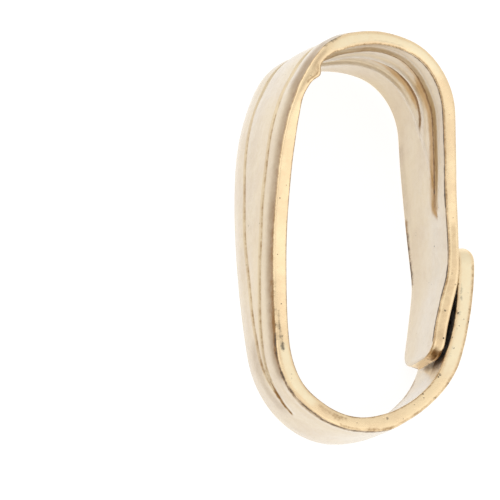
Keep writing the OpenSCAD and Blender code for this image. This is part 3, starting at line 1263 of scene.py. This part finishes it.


# The marks by rail, of use and of painted shade and sheen: the soil, its half width, its
# strength and its path.
MARKS = {
    Rail.OUTER_NEAR: (  # the brown near lobe, the line under the foot, the lap, the shoulder
        (SoilAndLight.SHADE, 0.42, 0.75, (13.2, 0.15), (16.5, 0.15), (22.0, 0.14)),
        (SoilAndLight.SHADE, 0.3, 0.6, (17.4, 0.1), (22.0, 0.1)),
        (SoilAndLight.STAIN, 0.14, 0.42, (13.8, 0.1), (21.5, 0.1)),
        (SoilAndLight.STAIN, 0.2, 0.35, (18.0, 0.1), (21.6, 0.1)),
        # Painted shade: a dark line where the foot's outer face turns away at its lip, with a
        # painted highlight beside it.
        (SoilAndLight.STAIN, 0.1, 0.9, (20.6, 0.11), (26.4, 0.11)),
        (SoilAndLight.GRIME, 0.07, 0.85, (21.0, 0.09), (26.0, 0.09)),
        (SoilAndLight.HAZE, 0.1, 0.6, (22.0, 0.3), (27.0, 0.3)),
        # Painted shadow in the lap, where the tongue's outer face lies under the tab.
        (SoilAndLight.GRIME, 0.45, 1.0, (0.45, 0.45), (1.7, 0.45)),
        (SoilAndLight.SHADE, 0.4, 0.6, (12.0, 0.25), (13.6, 0.3)),
    ),
    Rail.OUTER: (  # the other lobes, darker in painted shade, and what lies in the front's V
        (SoilAndLight.SHADE, 1.2, 0.28, (12.5, -0.6), (17.0, -0.5)),
        (SoilAndLight.SHADE, 0.6, 0.22, (18.5, -1.0), (24.0, -0.8)),
        (SoilAndLight.SHADE, 0.3, 0.5, (21.2, -0.4), (22.3, -0.35), (23.0, -0.2)),
        # In the V, a dark line with a painted highlight beside it.
        (SoilAndLight.STAIN, 0.08, 0.9, (21.9, 0.12), (22.75, 0.18), (23.3, 0.02)),
        (SoilAndLight.HAZE, 0.09, 0.9, (21.2, 0.38), (22.75, 0.38), (23.3, 0.2)),
    ),
    Rail.FLUTE: (  # the brown streak beside the near ridge
        (SoilAndLight.STREAK, 0.3, 0.95, (4.4, -0.2), (5.2, -0.34), (8.0, -0.4)),
        (SoilAndLight.STREAK, 0.2, 0.5, (8.0, -0.36), (9.6, -0.3)),
        # The streak's dark edge towards the ridge is the ridge's painted shadow.
        (SoilAndLight.STAIN, 0.1, 0.8, (4.5, -0.22), (8.2, -0.26), (9.4, -0.05)),
        (SoilAndLight.GRIME, 0.08, 0.6, (4.9, -0.2), (7.2, -0.24)),
    ),
    Rail.CREST: (  # the blotch beside the crest
        (SoilAndLight.STREAK, 0.2, 0.5, (9.9, -0.4), (8.3, -0.5), (7.6, -0.45)),
        (SoilAndLight.STREAK, 0.3, 0.8, (8.7, -0.5), (7.9, -0.5)),
        # Dark lines of painted shade under the crest.
        (SoilAndLight.STAIN, 0.12, 0.85, (9.2, -0.25), (8.2, -0.38), (7.0, -0.3)),
        (SoilAndLight.STAIN, 0.1, 0.85, (9.2, -0.2), (10.2, -0.15), (11.4, -0.15)),
    ),
    Rail.INNER_NEAR: (  # the dark line along the near edge, and the burr
        (SoilAndLight.STAIN, 0.1, 1.0, (0.5, 0.1), (8.2, 0.1)),
        (SoilAndLight.GRIME, 0.07, 0.9, (0.5, 0.09), (8.0, 0.09)),
        (SoilAndLight.STAIN, 0.12, 0.8, (8.2, 0.1), (12.9, 0.1)),
        (SoilAndLight.GRIME, 0.07, 0.65, (8.2, 0.1), (12.4, 0.1)),
        (SoilAndLight.STAIN, 0.08, 0.8, (25.6, 0.09), (29.0, 0.09)),
        # Painted shade under the burr.
        (SoilAndLight.SHADE, 0.3, 0.7, (13.0, 0.1), (13.6, 0.1)),
    ),
    Rail.INNER_FAR: (  # dark marks along the far edge, going on as painted shade
        (SoilAndLight.STAIN, 0.12, 0.95, (2.6, 0.12), (4.4, 0.12)),
        (SoilAndLight.GRIME, 0.08, 0.7, (2.6, 0.1), (4.0, 0.1)),
        (SoilAndLight.SHADE, 0.2, 0.5, (4.4, 0.15), (6.5, 0.15)),
        (SoilAndLight.STAIN, 0.1, 0.7, (26.6, 0.12), (28.6, 0.12)),
    ),
    Rail.INNER: (  # the pale tongue and foot, and the dark wedge where the lap begins
        # Painted sheen on the tongue and the foot.
        (SoilAndLight.HAZE, 0.9, 0.7, (0.3, 0.3), (4.0, 0.6)),
        (SoilAndLight.HAZE, 1.0, 0.7, (25.6, 0.0), (28.0, 0.0)),
        # Painted shadow with stains: the dark wedge and gap where the tab laps over the tongue.
        (SoilAndLight.GRIME, 0.26, 1.0, (29.35, 1.4), (29.3, 0.3)),
        (SoilAndLight.GRIME, 0.7, 1.0, (29.6, 0.9), (30.5, 0.9)),
        (SoilAndLight.STAIN, 0.24, 0.9, (29.0, 1.3), (29.0, 0.35)),
        (SoilAndLight.SHADE, 0.25, 0.9, (28.75, 1.3), (28.8, 0.4)),
    ),
    Rail.BAND: (  # the tongue's tip, the shoulder, and stained and pale stretches
        (SoilAndLight.STAIN, 0.12, 0.9, (0.0, 0.0), (0.15, 0.2)),
        (SoilAndLight.SHADE, 0.3, 0.42, (0.4, 0.15), (3.6, 0.15)),
        (SoilAndLight.GRIME, 0.05, 0.45, (29.0, 0.29), (31.2, 0.29)),
        (SoilAndLight.STAIN, 0.1, 0.6, (13.1, 0.31), (13.7, 0.24)),
        (SoilAndLight.SHADE, 0.2, 0.4, (12.7, 0.1), (13.9, 0.1)),
        (SoilAndLight.GRIME, 0.03, 0.6, (12.0, 0.0), (12.3, 0.01)),
        (SoilAndLight.GRIME, 0.06, 0.65, (20.4, 0.03), (21.1, 0.1), (21.5, 0.11)),
        (SoilAndLight.STAIN, 0.12, 0.5, (23.6, 0.2), (24.6, 0.24)),
        (SoilAndLight.STAIN, 0.07, 0.6, (9.6, 0.3), (11.6, 0.31)),
        # Painted sheen on the top, the tab and the foot.
        (SoilAndLight.HAZE, 0.4, 0.7, (8.4, 0.15), (11.9, 0.15)),
        (SoilAndLight.HAZE, 0.4, 0.7, (28.8, 0.15), (31.9, 0.15)),
        (SoilAndLight.HAZE, 0.3, 0.7, (21.6, 0.15), (23.2, 0.15)),
    ),
    Rail.BAND_FAR: (  # the tongue's tip
        (SoilAndLight.SHADE, 0.3, 0.6, (0.0, 0.15), (0.4, 0.15)),
    ),
    Rail.LIP: (  # thin lines along the lip
        (SoilAndLight.GRIME, 0.05, 0.7, (11.9, 0.04), (12.5, 0.04)),
        (SoilAndLight.GRIME, 0.05, 0.3, (19.4, 0.03), (21.2, 0.03)),
        # Painted shade where the lip turns away along the foot and the tab.
        (SoilAndLight.STAIN, 0.03, 0.5, (24.5, 0.0), (31.6, 0.0)),
    ),
}


@dataclass
class Bail:
    """The whole bail: its strip and the marks on it, of use and of painted shade and sheen."""

    strip: Strip = field(default_factory=Strip)
    face: WornGold = WornGold(Part.FACE)
    # A brighter copy of the faces' gold for the lit look of the cut edges: painted light.
    band: WornGold = WornGold(
        Part.BAND, gold=(0.98, 0.77, 0.48, 1.0), warm=(0.84, 0.61, 0.37, 1.0),
        film=(1.0, 0.88, 0.62, 1.0), mottle=0.5, pits=0.3, coat=0.2, coat_ior=1.5,
        roughness=(0.24, 0.36),
    )
    strokes: tuple[Stroke, ...] = tuple(
        Stroke(soil, rail, tuple(path), width, strength)
        for rail, marks in MARKS.items()
        for soil, width, strength, *path in marks
    )

    def build(self) -> bpy.types.Object:
        """Build the strip as one closed mesh and dress it.

        Returns:
            The piece's object.
        """
        skin = self.strip.surface()
        points = skin.spread(skin.points)
        corners, kind = skin.faces()
        mesh = bpy.data.meshes.new("bail_strip")
        mesh.vertices.add(len(points))
        mesh.vertices.foreach_set("co", (points * MM).astype(np.float32).ravel())
        mesh.loops.add(corners.size)
        mesh.loops.foreach_set("vertex_index", corners.astype(np.int32).ravel())
        mesh.polygons.add(len(corners))
        mesh.polygons.foreach_set("loop_start", np.arange(0, corners.size, 4, dtype=np.int32))
        mesh.polygons.foreach_set("material_index", kind)
        mesh.polygons.foreach_set("use_smooth", np.ones(len(corners), bool))
        mesh.update(calc_edges=True)
        mesh.validate()
        self.mark(mesh, skin)
        for finish in (self.face, self.band):
            mesh.materials.append(finish.material())
        return put("bail_strip", mesh)

    def mark(self, mesh: bpy.types.Mesh, skin: Surface) -> None:
        """Put the strip's places and the strokes' soiling and painted light on the mesh's
        points.

        Args:
            mesh: The strip's mesh.
            skin: Its surface.
        """
        n, ring = skin.along.shape
        side = np.zeros(ring)
        side[: skin.columns] = 1
        side[skin.columns : skin.columns + skin.band] = 0.5
        side[2 * skin.columns + skin.band :] = 0.5
        outer = np.broadcast_to(side, (n, ring))
        places = {
            "strip": np.stack([skin.along, skin.across, skin.around], -1),
            "rows": skin.rows,
            "press": np.concatenate([skin.press, outer[..., None]], -1),
        }
        for name, value in places.items():
            store = mesh.attributes.new(name, "FLOAT_VECTOR", "POINT")
            store.data.foreach_set("vector", skin.spread(value).astype(np.float32).ravel())
        for soil in SoilAndLight:
            left = np.ones((n, ring))
            for stroke in self.strokes:
                if stroke.soil is soil:
                    left = left * (1 - stroke.at(skin, outer))
            store = mesh.attributes.new(soil.value, "FLOAT", "POINT")
            store.data.foreach_set("value", skin.spread(1 - left).astype(np.float32).ravel())


@dataclass
class Studio:
    """A plain pale floor under soft white light.

    Attributes:
        floor_size: Side of the floor, in metres.
        floor_tone, floor_glow: Lightness of the floor and the light it gives off.
        sky_tone: Strength of the light all round.
        lamps: Each lamp's place, size and power.
    """

    floor_size: float = 3.0
    floor_tone: float = 0.25
    floor_glow: float = 0.88
    sky_tone: float = 0.82
    lamps: tuple[tuple[tuple[float, float, float], float, float], ...] = (
        ((0.3, -0.4, 0.5), 0.8, 0.8),
        ((-0.5, 0.2, 0.4), 0.8, 0.8),
    )

    def build(self) -> bpy.types.Object:
        """Build the floor, the sky and the lamps.

        Returns:
            The floor's object.
        """
        half = self.floor_size / 2
        mesh = bpy.data.meshes.new("floor")
        corners = np.array([[-1, -1, 0], [1, -1, 0], [1, 1, 0], [-1, 1, 0]]) * half
        mesh.from_pydata(corners.tolist(), [], [(0, 1, 2, 3)])
        paint = bpy.data.materials.new("pale_floor")
        paint.use_nodes = True
        board = Board(paint.node_tree)
        tone = (self.floor_tone,) * 3 + (1.0,)
        board.finish({
            "Base Color": tone, "Roughness": 0.9, "Specular IOR Level": 0.1,
            "Emission Color": (1, 1, 1, 1), "Emission Strength": self.floor_glow,
        })
        mesh.materials.append(paint)
        self.light()
        return put("floor", mesh)

    def light(self) -> None:
        """Light the scene with a pale sky and soft square lamps that aim at the bail."""
        scene = bpy.context.scene
        scene.world = bpy.data.worlds.new("soft_light")
        scene.world.use_nodes = True
        board = Board(scene.world.node_tree)
        sky = board.add("Background", {"Color": (1, 1, 1, 1), "Strength": self.sky_tone})
        board.add("OutputWorld", {"Surface": sky.outputs[0]})
        for number, (place, size, power) in enumerate(self.lamps):
            light = bpy.data.lights.new(f"lamp_{number}", "AREA")
            light.size = size
            light.energy = power
            lamp = put(light.name, light)
            lamp.location = place
            lamp.rotation_euler = (-Vector(place)).to_track_quat("-Z", "Y").to_euler()
            lamp.visible_camera = False
        scene.view_settings.view_transform = "Standard"


@dataclass
class Viewpoint:
    """The camera, at the photograph's viewing angle.

    Attributes:
        azimuth, elevation: Direction to the camera from the upright bail, in degrees,
            from its side axis towards its depth and above its side and depth.
        distance: Way from the middle of the bail to the camera, in millimetres.
        scale: Size of a millimetre there, in pixels of the picture.
        middle: Pixel at which the bail's middle shows.
    """

    azimuth: float = -19.35
    elevation: float = -9.53
    distance: float = 303.0
    scale: float = 33.272
    middle: tuple[float, float] = (348.97, 239.64)

    def build(self, strip: Strip) -> bpy.types.Object:
        """Place the camera, turned a little aside so that the bail's middle is off centre.

        Args:
            strip: The strip, which knows how the upright bail is laid down.

        Returns:
            The camera's object.
        """
        a, e = math.radians(self.azimuth), math.radians(self.elevation)
        back = np.array([math.cos(e) * math.cos(a), math.cos(e) * math.sin(a), math.sin(e)])
        right = np.cross([0.0, 0.0, 1.0], back)
        right /= np.linalg.norm(right)
        up = np.cross(back, right)
        middle = np.array([0.0, strip.depth / 2, strip.height / 2])
        aside = (PICTURE / 2 - np.array(self.middle)) / self.scale
        aim = middle + right * aside[0] - up * aside[1]
        eye = middle + back * self.distance
        away = (eye - aim) / np.linalg.norm(eye - aim)
        across = np.cross(up, away)
        across /= np.linalg.norm(across)
        axes = strip.turn @ np.column_stack([across, np.cross(away, across), away])
        place = (strip.turn @ eye - strip.seat) * MM
        data = bpy.data.cameras.new("camera")
        data.sensor_width = 36.0
        data.lens = self.scale * self.distance * data.sensor_width / PICTURE
        data.clip_end = 10.0
        camera = put("camera", data)
        camera.matrix_world = Matrix.LocRotScale(
            Vector(place), Matrix(axes.tolist()).to_quaternion(), None
        )
        bpy.context.scene.camera = camera
        return camera


def main() -> None:
    """Build the bail, the floor with its light and the camera, and report each."""
    logging.basicConfig(level=logging.INFO, format="%(name)s: %(message)s")
    bail = Bail()
    piece = bail.build()
    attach(piece, "root")
    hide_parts("bail")
    mesh = piece.data
    log.info("%s: %d points, %d faces", piece.name, len(mesh.vertices), len(mesh.polygons))
    floor = Studio().build()
    log.info("%s: %.1f m wide", floor.name, floor.dimensions.x)
    camera = Viewpoint().build(bail.strip)
    log.info("%s: lens %.0f mm", camera.name, camera.data.lens)


if __name__ == "__main__":
    main()
